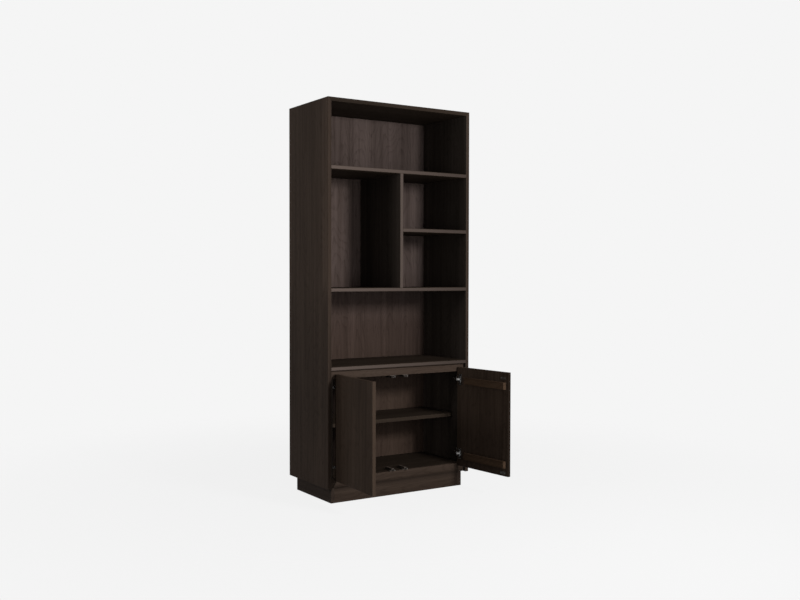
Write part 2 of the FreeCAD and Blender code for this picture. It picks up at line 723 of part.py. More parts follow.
def hinge_cups(side):
    """Cups let into the door, each with a flange on the door's inner face."""
    piece = Piece(side + "_hinge_cups", rest=door_rest(side))
    low, high = along(side, "flange_low", "flange_high")
    for level in HINGES:
        middle = along_at(side, "cup_middle")
        piece.rod("Additive", (middle, "cup_floor", level), "+Y", "cup_radius", "cup_depth")
        piece.box("Additive", (low, "door_inner", level + " - flange_height / 2"),
                  (high, "flange_face", level + " + flange_height / 2"))
        piece.drill((middle, "cup_floor + cup_wall", level), "+Y", "cup_bore", "cup_depth + flange_thick")
        for rise in ("-flange_screw_rise", "flange_screw_rise"):
            seat = (along_at(side, "flange_low + flange_width / 2"), "flange_face", level + " + " + rise)
            piece.drill(seat, "-Y", "screw_radius + screw_fit", "flange_thick")


def cup_pins(side):
    """Pins across the cups, on which the links turn."""
    pins = []
    for level in HINGES:
        start = ("0", "0", level + " - cup_pin_reach")
        pins.append(rod_solid(start, "+Z", "hinge_pin_radius", "2 * cup_pin_reach"))
    group(side + "_hinge_pins", pins, door_rest(side))


def strike_plates(side):
    """Plates that the plungers push on, and the screws of the door's fittings."""
    piece = Piece(side + "_strike_plates", rest=door_rest(side))
    face = "door_inner + strike_thick"
    screws = []
    low, high = along(side, "strike_middle - strike_width / 2", "strike_middle + strike_width / 2")
    for level in ("latch_low", "latch_high"):
        piece.box("Additive", (low, "door_inner", level + " - strike_height / 2"),
                  (high, face, level + " + strike_height / 2"))
        for offset in ("-strike_screw", "strike_screw"):
            seat = (along_at(side, "strike_middle + " + offset), face, level)
            piece.drill(seat, "-Y", "screw_radius + screw_fit", "strike_thick")
            screws.append(screw(seat, "-Y", "short_screw"))
    for level in HINGES:
        for rise in ("-flange_screw_rise", "flange_screw_rise"):
            seat = (along_at(side, "flange_low + flange_width / 2"), "flange_face", level + " + " + rise)
            screws.append(screw(seat, "-Y", "short_screw"))
    group(side + "_door_screws", screws, door_rest(side))


# Push latches

LATCHES = (("upper", "latch_high", "+Z"), ("lower", "latch_low", "-Z"))


def latch_housings():
    """Square tubes with two ears, under the header rail and on the bottom rail."""
    screws = []
    springs = []
    for side in SIDES:
        middle = "-latch_offset" if side == "left" else "latch_offset"
        for name, level, way in LATCHES:
            seat = level + (" + latch_size / 2" if way == "+Z" else " - latch_size / 2")
            ear = seat + (" - ear_thick" if way == "+Z" else " + ear_thick")
            ear_low, ear_high = (ear, seat) if way == "+Z" else (seat, ear)
            piece = Piece("%s_%s_latch_housing" % (side, name))
            piece.box("Additive", (middle + " - latch_size / 2", "latch_front", level + " - latch_size / 2"),
                      (middle + " + latch_size / 2", "latch_rear", level + " + latch_size / 2"))
            piece.box("Additive", (middle + " - ear_reach", "latch_front", ear_low),
                      (middle + " + ear_reach", "latch_front + ear_depth", ear_high))
            piece.drill((middle, "latch_front", level), "+Y", "plunger_bore", "latch_length - latch_end")
            for offset in (" - ear_screw", " + ear_screw"):
                hole = (middle + offset, "latch_front + ear_depth / 2", ear)
                piece.drill(hole, way, "screw_radius + screw_fit", "ear_thick")
                screws.append(screw(hole, way, "short_screw"))
            springs.append(spring((middle, "plunger_end", level)))
    group("latch_screws", screws)
    group("latch_springs", springs)


def spring(start):
    """The outer shape of the spring between a plunger and its housing's closed end."""
    length = "latch_rear - latch_end - plunger_end"
    tube = rod_solid(start, "+Y", "spring_radius", length)
    return tube.cut(rod_solid(start, "+Y", "spring_radius - spring_wall", length)).Solids[0]


def plungers():
    """Round-tipped rods that the closing doors push into the housings."""
    def at_tip(edge):
        return edge.Closed and edge.CenterOfMass.y < value("plunger_length") / 2

    for side in SIDES:
        middle = "-latch_offset" if side == "left" else "latch_offset"
        for name, level, way in LATCHES:
            piece = Piece("%s_%s_plunger" % (side, name), (middle, "plunger_tip", level))
            piece.rod("Additive", (middle, "plunger_tip", level), "+Y", "plunger_radius", "plunger_length")
            piece.round_edges("plunger_round", at_tip)


def check(part):
    """Stops the build at a failed feature or a broken shape."""
    features = [part, *part.OutListRecursive]
    failed = [item.Label for item in features if {"Invalid", "Error"} & set(item.State)]
    if failed or part.Shape.isNull() or not part.Shape.isValid() or not part.Shape.Solids:
        raise RuntimeError("%s failed: %s" % (part.Label, failed))


def main():
    fill_sheet()
    side_panels()
    top_panel()
    shelves()
    divider()
    dowels()
    back_panel()
    face_frame()
    loose_shelf()
    cleats()
    plinth()
    back_screws()
    wall_brackets()
    hinge_plates()
    arm_pins()
    latch_housings()
    plungers()
    for side in SIDES:
        hinge_arms(side)
        hinge_links(side)
        door_panel(side)
        battens(side)
        hinge_cups(side)
        cup_pins(side)
        strike_plates(side)
    doc.recompute()
    for part in parts:
        check(part)
    os.makedirs("parts", exist_ok=True)
    for part in parts:
        part.Shape.exportStep("parts/%s.step" % part.Label)


main()
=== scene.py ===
import json
import math

import bpy
import numpy as np
from mathutils import Matrix, Vector


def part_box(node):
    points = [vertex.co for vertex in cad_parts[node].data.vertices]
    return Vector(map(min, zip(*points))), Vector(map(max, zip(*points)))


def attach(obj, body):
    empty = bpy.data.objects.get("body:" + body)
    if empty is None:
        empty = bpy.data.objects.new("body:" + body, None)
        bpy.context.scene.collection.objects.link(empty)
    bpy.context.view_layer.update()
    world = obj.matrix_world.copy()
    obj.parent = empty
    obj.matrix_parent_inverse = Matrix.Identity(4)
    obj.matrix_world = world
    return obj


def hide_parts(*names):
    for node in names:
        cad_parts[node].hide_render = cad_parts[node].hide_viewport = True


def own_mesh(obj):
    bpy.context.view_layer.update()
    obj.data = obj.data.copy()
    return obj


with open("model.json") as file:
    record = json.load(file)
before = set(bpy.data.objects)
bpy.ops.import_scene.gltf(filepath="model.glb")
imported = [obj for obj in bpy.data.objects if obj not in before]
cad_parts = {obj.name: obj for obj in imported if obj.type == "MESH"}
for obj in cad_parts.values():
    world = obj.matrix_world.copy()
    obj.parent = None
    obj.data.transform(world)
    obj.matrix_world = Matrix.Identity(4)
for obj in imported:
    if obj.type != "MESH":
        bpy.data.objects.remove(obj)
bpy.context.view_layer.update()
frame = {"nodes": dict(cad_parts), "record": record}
nodes = frame["nodes"]

# Camera, found from the photograph's corners of the bookcase: metres, radians and pixels
CAMERA_AT = Vector((-2.80913, -4.56316, 1.18405))
CAMERA_YAW = 0.572614
CAMERA_PITCH = -0.025162
CAMERA_ROLL = 0.001704
FOCAL_PIXELS = 960.92
IMAGE_WIDTH = 800
SENSOR = 36.0

# Lamps: place, aim, width and height in metres, and level, where 1 makes a white surface at the aim white
KEY_LAMP = (Vector((0.70, -3.61, 1.98)), Vector((0.0, 0.0, 1.30)), 0.55, 0.55, 0.84)
FILL_LAMP = (Vector((0.0, -4.0, 1.0)), Vector((0.0, 0.0, 1.0)), 2.0, 1.6, 0.25)
SIDE_LAMP = (Vector((-3.2, -0.6, 1.75)), Vector((-0.45, 0.0, 1.0)), 0.5, 0.5, 0.20)

# Surroundings: their light on the bookcase, what is seen of them, and the floor's spread, fade and shadow
SURROUND = 0.30
BACKDROP = 0.913
FLOOR_SIZE = 14.0
FLOOR_FADE = (0.9, 3.2)
FLOOR_SHADE = 0.07
WHITE = (1.0, 1.0, 1.0, 1.0)
FLOOR_WHITE = (0.8, 0.8, 0.8, 1.0)
FLOOR_BOUNCE = (0.3, 0.3, 0.3, 1.0)

# Stained oak: colours of the stain, of worn edges and of the shelves' lipping, and sizes in metres
STAIN_DARK = (0.0190, 0.0124, 0.0088)
STAIN_MID = (0.0388, 0.0266, 0.0200)
STAIN_PALE = (0.0650, 0.0458, 0.0352)
PORE_COLOUR = (0.0095, 0.0062, 0.0044, 1.0)
WORN_COLOUR = (0.0780, 0.0570, 0.0450, 1.0)
WORN_EDGE = (0.0005, 0.0016)
WORN_PATCHES = (0.7, 1.3)
WORN_SHARE = 0.3
LIPPING_COLOUR = (0.074, 0.056, 0.048)
LIPPING_DEPTH = 0.004
LIPPING_LINE = 0.0006
LIPPING_SHARE = 0.85
LIPPING_SKIN = (0.0008, 0.0026)
LIPPING_LEVEL = 0.92
# Painted shade on the lipping: loss of its level per metre to the right
LIPPING_SHADE_TO_RIGHT = 0.8
BATTEN_TONE = (1.18, 1.04, 0.86)
DOOR_TONE = (0.92, 0.90, 0.86)
SHELF_TONE = (0.62, 0.64, 0.62)
BACK_TONE = (1.48, 1.58, 1.86)
RUNNER_TONE = (0.76, 0.78, 0.82)
INNER_TONE = (0.89, 1.02, 1.12)
FULL_TONE = (1.0, 1.0, 1.0)
BOARD_SHARE = {"bottom_panel": 0.84, "top_panel": 0.92}

# Noise in the oak: cells per metre across and along the fibre, detail and roughness
SWAY = (5.0, 1.3, 2.0, 0.5)
RIPPLE = (30.0, 6.0, 2.0, 0.5)
BANDS = (11.0, 0.7, 3.0, 0.6)
STRIPES = (48.0, 0.8, 2.0, 0.5)
STREAKS = (240.0, 5.0, 3.0, 0.6)
PORES = (950.0, 26.0, 2.0, 0.5)

# Growth of the oak, in metres and shares, and the steps that set one board apart from the next
RING_WIDTH = 0.0042
RING_RIPPLE = 0.004
LEAF_WIDTH = 0.155
LEAF_DEPTH = 0.05
TRUNK_TAPER = 0.035
PITH_SWAY_ACROSS = 0.05
PITH_SWAY_BELOW = 0.09
EARLY_START = (0.55, 0.95)
EARLY_END = (0.97, 1.0)
PORE_RANGE = (0.56, 0.68)
PORE_IN_LATE = 0.3
PORE_SHARE = 0.6
SEED_STEP = 0.61
SEED_LEAF = 0.37
SEED_SHIFT = (3.1, 1.7, 2.3)

# What each layer of the oak adds to the paleness of the stain, to the roughness and to the relief
PALE_BANDS = 1.1
PALE_STRIPES = 0.7
PALE_STREAKS = 0.5
PALE_LEAF = 0.15
PALE_EARLY = 0.1
PALE_START = 0.745
MID_AT = 0.45
ROUGH_LACQUER = 0.54
ROUGH_STREAKS = 0.12
ROUGH_PORE = 0.16
ROUGH_WORN = 0.1
RELIEF_STREAKS = 0.3
RELIEF_EARLY = 0.2
RELIEF_PORE = 0.7
OAK_BUMP = (0.4, 0.0005)
OAK_GLOSS = 0.02

# Back panel: share by height that paints light and shade, painted shade per metre to the right, and painted
# shade in the cabinet's left corner
BACK_RAMP_TOP = 2.1
BACK_LIGHT_BY_HEIGHT = (
    (0.32, (0.69, 0.62, 0.53)), (0.48, (0.75, 0.68, 0.58)), (0.90, (0.80, 0.73, 0.68)),
    (1.22, (1.20, 1.20, 1.20)), (1.60, (1.28, 1.28, 1.28)), (1.80, (1.0, 1.0, 1.0)))
BACK_SHADE_TO_RIGHT = 0.75
CORNER_ACROSS = (-0.18, -0.02)
CORNER_HEIGHT = (0.62, 0.70)
CORNER_PAINTED_SHADE = 0.78
REAR_SHARE = 0.6

# Side panels, the front frame and the right door's free edge: shares, and sizes in metres
SIDE_TOP = 1.2
# Share by height on the side panels: painted shade below the middle
SIDE_SHADE_BY_HEIGHT = (
    (0.15, 0.97), (0.26, 0.94), (0.37, 0.85), (0.48, 0.78), (0.69, 0.80), (0.90, 0.88), (1.15, 1.0))
SIDE_FRONT_LOSS = 0.12
SIDE_FRONT_GAIN = 0.5
SIDE_FRONT_REACH = (0.02, 0.10)
SIDE_FRONT_HEIGHT = (1.0, 1.2)
# Painted light on the inner faces: shares at the front and rear, and extra shares for the open bays and the
# cabinet
INNER_FRONT = 0.8
INNER_REAR = 1.25
INNER_OPEN = 0.2
INNER_CABINET = 0.9
FRAME_TOP = 0.64
# Share by height on the front frame: painted shade under the bottom rail
FRAME_SHADE_BY_HEIGHT = ((0.0, 0.95), (0.052, 0.93), (0.077, 0.52), (0.082, 0.60), (0.094, 0.92), (0.60, 1.03))
FREE_EDGE_LOSS = 0.6
FACE_DEPTH = (0.0003, 0.0009)

# Beech, plated steel and moulded plastic: colours, noise per metre with its detail, starts and spreads
BEECH_DARK = (0.46, 0.31, 0.19, 1.0)
BEECH_PALE = (0.60, 0.45, 0.30, 1.0)
BEECH_FLECKS = (300.0, 300.0, 60.0)
BEECH_DETAIL = (3.0, 0.6)
BEECH_ROUGH = (0.62, 0.1)
PLATED_CLOUDS = (90.0, 90.0, 90.0)
PLATED_DETAIL = (4.0, 0.6)
PLATED_MARKS = (1500.0, 200.0, 1500.0)
PLATED_TONE = (0.85, 0.3)
PLATED_ROUGH = (-0.1, 0.2)
PLATED_BUMP = (0.12, 0.0002)
MOULDED_CLOUDS = (70.0, 70.0, 70.0)
MOULDED_DETAIL = (3.0, 0.5)
MOULDED_STIPPLE = (2600.0, 2600.0, 2600.0)
MOULDED_TONE = (0.8, 0.4)
MOULDED_ROUGH = (-0.07, 0.15)
MOULDED_BUMP = (0.2, 0.0002)
MOULDED_GLOSS = 0.3

# Screws, set screws and springs, in metres
STEPS_ROUND = 32
HEAD_RADIUS = 0.0034
HEAD_RIM = 0.0005
HEAD_CROWN = 0.0007
CROWN_RINGS = np.array([0.08, 0.16, 0.23, 0.29, 0.35, 0.42, 0.49, 0.56, 0.64, 0.74, 0.84, 0.92, 0.98, 1.0])
RECESS_DEPTH = 0.0008
RECESS_HALF_WIDTH = (0.00038, 0.00062)
RECESS_REACH = (0.0014, 0.0020)
SHANK_RADIUS = 0.00172
THREAD_DEPTH = 0.00034
THREAD_PITCH = 0.0014
THREAD_STEP = 0.00042
TIP_LENGTH = 0.0026
TIP_RINGS = np.linspace(0.0, 0.92, 6)
END_STEP = 0.0001
SPIN_COUNT = 64
CLAMP_SCREW_LENGTH = 0.009
SET_SCREW_RADIUS = 0.0024
SET_SCREW_RISE = 0.0005
SET_SCREW_FLAT = 0.92
SET_SCREW_RIM_RADIUS = np.array([0.98, 1.0, 1.0])
SET_SCREW_RIM_RISE = np.array([0.9, 0.6, 0.0])
SET_SCREW_OFFSETS = (-0.0145, 0.0145)
SET_SCREW_SPIN = 0.6
COIL_WIRE = 0.00032
COIL_TURNS = 7
COIL_STEPS = 24
WIRE_STEPS = 8
SPRING_SPLIT = 0.4
SPRING_PLAY = 0.0001

# Reading of the CAD meshes: decimals of a metre, what counts as lying or upright, and the angle of a crease
DECIMALS = 6
LYING = 0.5
UPRIGHT = 0.9
CREASE = math.radians(40.0)


class Shade:
    """A node's output, on which sums and products add Math nodes."""

    def __init__(self, finish, socket):
        self.finish = finish
        self.socket = socket

    def maths(self, operation, first, second):
        return self.finish.node("ShaderNodeMath", {"operation": operation}, {0: first, 1: second})

    def __add__(self, other):
        return self.maths("ADD", self, other)

    def __radd__(self, other):
        return self.maths("ADD", other, self)

    def __sub__(self, other):
        return self.maths("SUBTRACT", self, other)

    def __rsub__(self, other):
        return self.maths("SUBTRACT", other, self)

    def __mul__(self, other):
        return self.maths("MULTIPLY", self, other)

    def __rmul__(self, other):
        return self.maths("MULTIPLY", other, self)

    def __truediv__(self, other):
        return self.maths("DIVIDE", self, other)

    def __rtruediv__(self, other):
        return self.maths("DIVIDE", other, self)

    def least(self, other):
        return self.maths("MINIMUM", self, other)

    def most(self, other):
        return self.maths("MAXIMUM", self, other)


class Finish:
    """A node tree with one method that adds any node, its settings first and then its sockets."""

    def __init__(self, tree):
        self.tree = tree
        tree.nodes.clear()

    def node(self, kind, settings=None, sockets=None, out=0):
        made = self.tree.nodes.new(kind)
        for name, setting in (settings or {}).items():
            if name == "stops":
                self.set_stops(made.color_ramp, setting)
            else:
                setattr(made, name, setting)
        for key, given in (sockets or {}).items():
            if isinstance(given, Shade):
                self.tree.links.new(given.socket, made.inputs[key])
            else:
                made.inputs[key].default_value = given
        if isinstance(out, tuple):
            return [Shade(self, made.outputs[name]) for name in out]
        return Shade(self, made.outputs[out]) if made.outputs else made

    @staticmethod
    def set_stops(ramp, stops):
        while len(ramp.elements) < len(stops):
            ramp.elements.new(1.0)
        for element, (place, colour) in zip(ramp.elements, stops):
            element.position = place
            element.color = (*colour, 1.0)

    def mix(self, factor, first, second):
        """Mixes two colours."""
        return self.node("ShaderNodeMix", {"data_type": "RGBA"}, {0: factor, 6: first, 7: second}, out=2)

    def ramp(self, value, stops):
        """A colour for each value from 0 to 1."""
        return self.node("ShaderNodeValToRGB", {"stops": stops}, {0: value})

    def scaled(self, colour, share):
        """A colour or vector times a number."""
        return self.node("ShaderNodeVectorMath", {"operation": "SCALE"}, {0: colour, 3: share})

    def times(self, colour, tone):
        """A colour or vector times another, part by part."""
        return self.node("ShaderNodeVectorMath", {"operation": "MULTIPLY"}, {0: colour, 1: tone})

    def band(self, value, low, high):
        """Rises smoothly from 0 at low to 1 at high."""
        return self.node("ShaderNodeMapRange", {"interpolation_type": "SMOOTHSTEP"},
                         {0: value, 1: low, 2: high, 3: 0.0, 4: 1.0})

    def place(self):
        return self.node("ShaderNodeTexCoord", out="Object")

    def axes(self, place):
        return dict(zip("XYZ", self.node("ShaderNodeSeparateXYZ", None, {0: place}, out=("X", "Y", "Z"))))

    def noise(self, place, scale, shift=(0.0, 0.0, 0.0), detail=2.0, rough=0.5):
        """Noise of a size per axis, moved so that no two boards share it."""
        moved = self.node("ShaderNodeVectorMath", {"operation": "ADD"}, {0: place, 1: shift})
        return self.node("ShaderNodeTexNoise", None, {
            "Vector": self.times(moved, scale), "Scale": 1.0, "Detail": detail, "Roughness": rough})

    def bump(self, height, strength, distance):
        return self.node("ShaderNodeBump", None, {
            "Strength": strength, "Distance": distance, "Height": height})

    def surface(self, **sockets):
        """Ends a material in one Principled shader."""
        names = {"colour": "Base Color", "rough": "Roughness", "metal": "Metallic", "normal": "Normal",
                 "gloss": "Specular IOR Level"}
        given = {names[key]: value for key, value in sockets.items()}
        shader = self.node("ShaderNodeBsdfPrincipled", None, given)
        self.node("ShaderNodeOutputMaterial", None, {"Surface": shader})


def new_finish(name):
    material = bpy.data.materials.new(name)
    material.use_nodes = True
    return material, Finish(material.node_tree)


def dress(node, material):
    """Gives a finish to a CAD node."""
    nodes[node].data.materials.clear()
    nodes[node].data.materials.append(material)


def slot_nodes(slot):
    return [row["node"] for row in frame["record"]["subparts"] if row["material_slot"] == slot]


def corner_points(node):
    """A CAD node's points, as an array."""
    mesh = nodes[node].data
    points = np.empty(3 * len(mesh.vertices))
    mesh.vertices.foreach_get("co", points)
    return points.reshape(-1, 3)


# Dark stained oak

def board_frame(node):
    """A board's turn about the upright, read from its largest face, and its box in that turned frame."""
    mesh = nodes[node].data
    areas = np.empty(len(mesh.polygons))
    normals = np.empty(3 * len(mesh.polygons))
    mesh.polygons.foreach_get("area", areas)
    mesh.polygons.foreach_get("normal", normals)
    facing = normals.reshape(-1, 3)[areas.argmax()]
    quarter = math.pi / 2
    turn = (math.atan2(facing[1], facing[0]) + quarter / 2) % quarter - quarter / 2
    turn = turn if abs(facing[2]) < LYING else 0.0
    cos, sin = math.cos(turn), math.sin(turn)
    points = corner_points(node) @ np.array([[cos, -sin, 0.0], [sin, cos, 0.0], [0.0, 0.0, 1.0]])
    return turn, points.min(0), points.max(0)


def toned(colour, tone):
    return tuple(part * scale for part, scale in zip(colour, tone))


def worn_edges(finish, axes, low, high):
    """Rises to 1 along a board's edges: the middle one of the distances to the three pairs of faces."""
    near = [(axes[name] - float(first)).least(float(last) - axes[name])
            for name, first, last in zip("XYZ", low, high)]
    middle = near[0].least(near[1]).most(near[0].most(near[1]).least(near[2]))
    return 1.0 - finish.band(middle, *WORN_EDGE)


class Board:
    """What a board's last touch needs: its finish, axes, box and depth below the broad faces."""

    def __init__(self, finish, axes, low, high, skin):
        self.finish = finish
        self.axes = axes
        self.low = low
        self.high = high
        self.skin = skin

    def front(self):
        """1 on the face at the board's low Y."""
        first, last = FACE_DEPTH
        face = float(self.low[1])
        return 1.0 - self.finish.band(self.axes["Y"], face + first, face + last)

    def by_height(self, top, shares):
        """A share of the colour, whole or part by part, by height above the floor: painted light and shade.
        """
        stops = tuple((height / top, share if isinstance(share, tuple) else (share, share, share))
                      for height, share in shares)
        return self.finish.ramp(self.axes["Z"] / top, stops)


def oak(node, along, across, seed, tone, touch):
    """Stained oak, sawn from a slowly tapering trunk: growth rings at equal steps of the distance from the
    pith, which wanders along each leaf of veneer, so that the rings run straight at a leaf's edges and
    close into arches at its middle; dark pores in the early wood; broad bands of stain; worn edges; a thin
    lacquer."""
    material, finish = new_finish(node + "_oak")
    turn, low, high = board_frame(node)
    place = finish.place()
    if turn:
        place = finish.node("ShaderNodeVectorRotate", {"rotation_type": "Z_AXIS"}, {
            "Vector": place, "Angle": -turn})
    axes = finish.axes(place)
    through = (set("XYZ") - {along, across}).pop()
    length, width, depth = axes[along], axes[across], axes[through]
    shift = tuple(seed * step for step in SEED_SHIFT)

    def drawn_out(across_scale, along_scale, detail, rough):
        scale = tuple(along_scale if name == along else across_scale for name in "XYZ")
        return finish.noise(place, scale, shift, detail, rough)

    leaf = width / LEAF_WIDTH + seed * SEED_LEAF
    leaf_number = finish.node("ShaderNodeMath", {"operation": "FLOOR"}, {0: leaf})
    leaf_tone = finish.node("ShaderNodeTexWhiteNoise", {"noise_dimensions": "1D"}, {
        "W": leaf_number + seed})
    sway = drawn_out(*SWAY)
    from_pith = (leaf - leaf_number - 0.5) * LEAF_WIDTH + sway * PITH_SWAY_ACROSS - PITH_SWAY_ACROSS / 2
    below_pith = depth + length * TRUNK_TAPER + sway * PITH_SWAY_BELOW + leaf_tone * LEAF_DEPTH
    radius = finish.node("ShaderNodeMath", {"operation": "SQRT"}, {
        0: from_pith * from_pith + below_pith * below_pith}) + drawn_out(*RIPPLE) * RING_RIPPLE
    ring = finish.node("ShaderNodeMath", {"operation": "FRACT"}, {0: radius / RING_WIDTH})
    early = finish.band(ring, *EARLY_START) * (1.0 - finish.band(ring, *EARLY_END))
    bands = drawn_out(*BANDS)
    stripes = drawn_out(*STRIPES)
    streaks = drawn_out(*STREAKS)
    pore = finish.band(drawn_out(*PORES), *PORE_RANGE) * (early * (1.0 - PORE_IN_LATE) + PORE_IN_LATE)

    layers = bands * PALE_BANDS + stripes * PALE_STRIPES + streaks * PALE_STREAKS + leaf_tone * PALE_LEAF
    colour = finish.ramp(layers - early * PALE_EARLY - PALE_START, (
        (0.0, toned(STAIN_DARK, tone)), (MID_AT, toned(STAIN_MID, tone)), (1.0, toned(STAIN_PALE, tone))))
    colour = finish.mix(pore * PORE_SHARE, colour, PORE_COLOUR)
    worn = worn_edges(finish, axes, low, high) * finish.band(streaks + bands, *WORN_PATCHES)
    colour = finish.mix(worn * WORN_SHARE, colour, WORN_COLOUR)
    if touch:
        thick = "XYZ".index(through)
        skin = (depth - float(low[thick])).least(float(high[thick]) - depth)
        colour = touch(Board(finish, axes, low, high, skin), colour)
    rough = ROUGH_LACQUER + streaks * ROUGH_STREAKS + pore * ROUGH_PORE - worn * ROUGH_WORN
    relief = streaks * RELIEF_STREAKS - early * RELIEF_EARLY - pore * RELIEF_PORE
    finish.surface(colour=colour, rough=rough, gloss=OAK_GLOSS, normal=finish.bump(relief, *OAK_BUMP))
    dress(node, material)


def front_lipping(board, colour):
    """A strip of paler solid wood along a front edge, between two face veneers, with painted shade to the
    right.
    """
    finish = board.finish
    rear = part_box("middle_shelf")[0].y + LIPPING_DEPTH
    strip = 1.0 - finish.band(board.axes["Y"], rear, rear + LIPPING_LINE)
    core = finish.band(board.skin, *LIPPING_SKIN)
    # Painted shade: the lipping darkens to the right
    pale = finish.scaled(LIPPING_COLOUR, LIPPING_LEVEL - board.axes["X"] * LIPPING_SHADE_TO_RIGHT)
    return finish.mix(strip * core * LIPPING_SHARE, colour, pale)


def painted_back_light(board, colour):
    """Painted light and shade on the face that shows: lighter at the middle heights, darker towards the
    base, to the right of the open bays and in the cabinet's left corner; the rear keeps one plain coat."""
    finish = board.finish
    painted_by_height = finish.times(colour, board.by_height(BACK_RAMP_TOP, BACK_LIGHT_BY_HEIGHT))
    left = 1.0 - finish.band(board.axes["X"], *CORNER_ACROSS)
    low = 1.0 - finish.band(board.axes["Z"], *CORNER_HEIGHT)
    # Painted shade to the right of the open bays and in the cabinet's left corner
    share = (1.0 - board.axes["X"] * (1.0 - low) * BACK_SHADE_TO_RIGHT) * (1.0 - left * low * CORNER_PAINTED_SHADE)
    plain = finish.scaled(colour, REAR_SHARE)
    return finish.mix(board.front(), plain, finish.scaled(painted_by_height, share))


def painted_side_light(board, colour):
    """Colour of a side panel: painted shade below the middle; the front edge darker and the outer face
    paler along its upper front; the inner face, in shade, is greyer, with painted light that grows towards
    the rear and is strongest inside the cabinet."""
    finish = board.finish
    first, last = FACE_DEPTH
    inner = min(abs(float(board.low[0])), abs(float(board.high[0])))
    out = finish.node("ShaderNodeMath", {"operation": "ABSOLUTE"}, {0: board.axes["X"]})
    inside = 1.0 - finish.band(out, inner + first, inner + last)
    front, rear = float(board.low[1]), float(board.high[1])
    # Painted light on the inner face, growing towards the rear and strongest in the cabinet
    depth = (board.axes["Y"] - front) * ((INNER_REAR - INNER_FRONT) / (rear - front)) + INNER_FRONT
    cabinet = 1.0 - finish.band(board.axes["Z"], *CORNER_HEIGHT)
    inner_painted_light = (cabinet * (INNER_CABINET - INNER_OPEN) + (1.0 + INNER_OPEN)) * depth
    inner_shaded = finish.scaled(finish.times(colour, INNER_TONE), inner_painted_light)
    near, far = (front + reach for reach in SIDE_FRONT_REACH)
    upper = finish.band(board.axes["Z"], *SIDE_FRONT_HEIGHT)
    upper_front = (1.0 - finish.band(board.axes["Y"], near, far)) * upper
    edge = board.front()
    share = (1.0 + upper_front * (1.0 - edge) * SIDE_FRONT_GAIN) * (1.0 - edge * SIDE_FRONT_LOSS)
    # Painted shade by height
    painted_by_height = finish.times(colour, board.by_height(SIDE_TOP, SIDE_SHADE_BY_HEIGHT))
    return finish.mix(inside, finish.scaled(painted_by_height, share), inner_shaded)


def painted_joint_shade(board, colour):
    """Front frame colour with painted shade under the bottom rail, on the plinth and the rail's lower edge.
    """
    return board.finish.times(colour, board.by_height(FRAME_TOP, FRAME_SHADE_BY_HEIGHT))


def free_edge(board, colour):
    """Darkens a door's free edge."""
    return board.finish.scaled(colour, 1.0 - board.front() * FREE_EDGE_LOSS)


# Slot, grain's direction, direction across it on the broad face, tone of the stain, and last touch, which
# mostly paints light or shade
BOARDS = (
    ("side_wood", "Z", "Y", FULL_TONE, painted_side_light),
    ("shelf_wood", "X", "Y", SHELF_TONE, front_lipping),
    ("post_wood", "Z", "Y", INNER_TONE, front_lipping),
    ("back_wood", "Z", "X", BACK_TONE, painted_back_light),
    ("frame_wood", "X", "Z", FULL_TONE, painted_joint_shade),
    ("runner_wood", "Y", "Z", RUNNER_TONE, None),
    ("door_wood", "Z", "Y", DOOR_TONE, None),
    ("batten_wood", "Y", "Z", BATTEN_TONE, None),
)
OTHER_TOUCH = {"top_panel": None, "right_door_panel": free_edge}


def boards():
    for number, (slot, along, across, tone, touch) in enumerate(BOARDS, 1):
        for place, node in enumerate(slot_nodes(slot)):
            share = BOARD_SHARE.get(node, 1.0)
            board_tone = tuple(part * share for part in tone)
            oak(node, along, across, number + SEED_STEP * place, board_tone, OTHER_TOUCH.get(node, touch))


# Pale wood, metal and plastic

def beech():
    """Bare pale wood for dowels and corner blocks: short flecks along the fibre."""
    material, finish = new_finish("pale_wood")
    flecks = finish.noise(finish.place(), BEECH_FLECKS, (0.0, 0.0, 0.0), *BEECH_DETAIL)
    colour = finish.mix(flecks, BEECH_DARK, BEECH_PALE)
    start, spread = BEECH_ROUGH
    finish.surface(colour=colour, rough=start + flecks * spread)
    return material


def plated(name, colour, rough, seed):
    """Plated steel: a bright metal with faint rolling marks and cloudy spots."""
    material, finish = new_finish(name)
    place = finish.place()
    clouds = finish.noise(place, PLATED_CLOUDS, (seed, seed, seed), *PLATED_DETAIL)
    marks = finish.noise(place, PLATED_MARKS, (seed, 0.0, seed))
    start, spread = PLATED_TONE
    clouded = finish.scaled(colour, clouds * spread + start)
    start, spread = PLATED_ROUGH
    finish.surface(colour=clouded, rough=clouds * spread + (rough + start), metal=1.0,
                   normal=finish.bump(marks, *PLATED_BUMP))
    return material


def moulded(name, colour, rough, seed):
    """Moulded plastic or paint: an even colour with a fine stipple."""
    material, finish = new_finish(name)
    place = finish.place()
    stipple = finish.noise(place, MOULDED_STIPPLE, (seed, seed, seed))
    clouds = finish.noise(place, MOULDED_CLOUDS, (seed, seed, seed), *MOULDED_DETAIL)
    start, spread = MOULDED_TONE
    clouded = finish.scaled(colour, clouds * spread + start)
    start, spread = MOULDED_ROUGH
    finish.surface(colour=clouded, rough=stipple * spread + (rough + start), gloss=MOULDED_GLOSS,
                   normal=finish.bump(stipple, *MOULDED_BUMP))
    return material


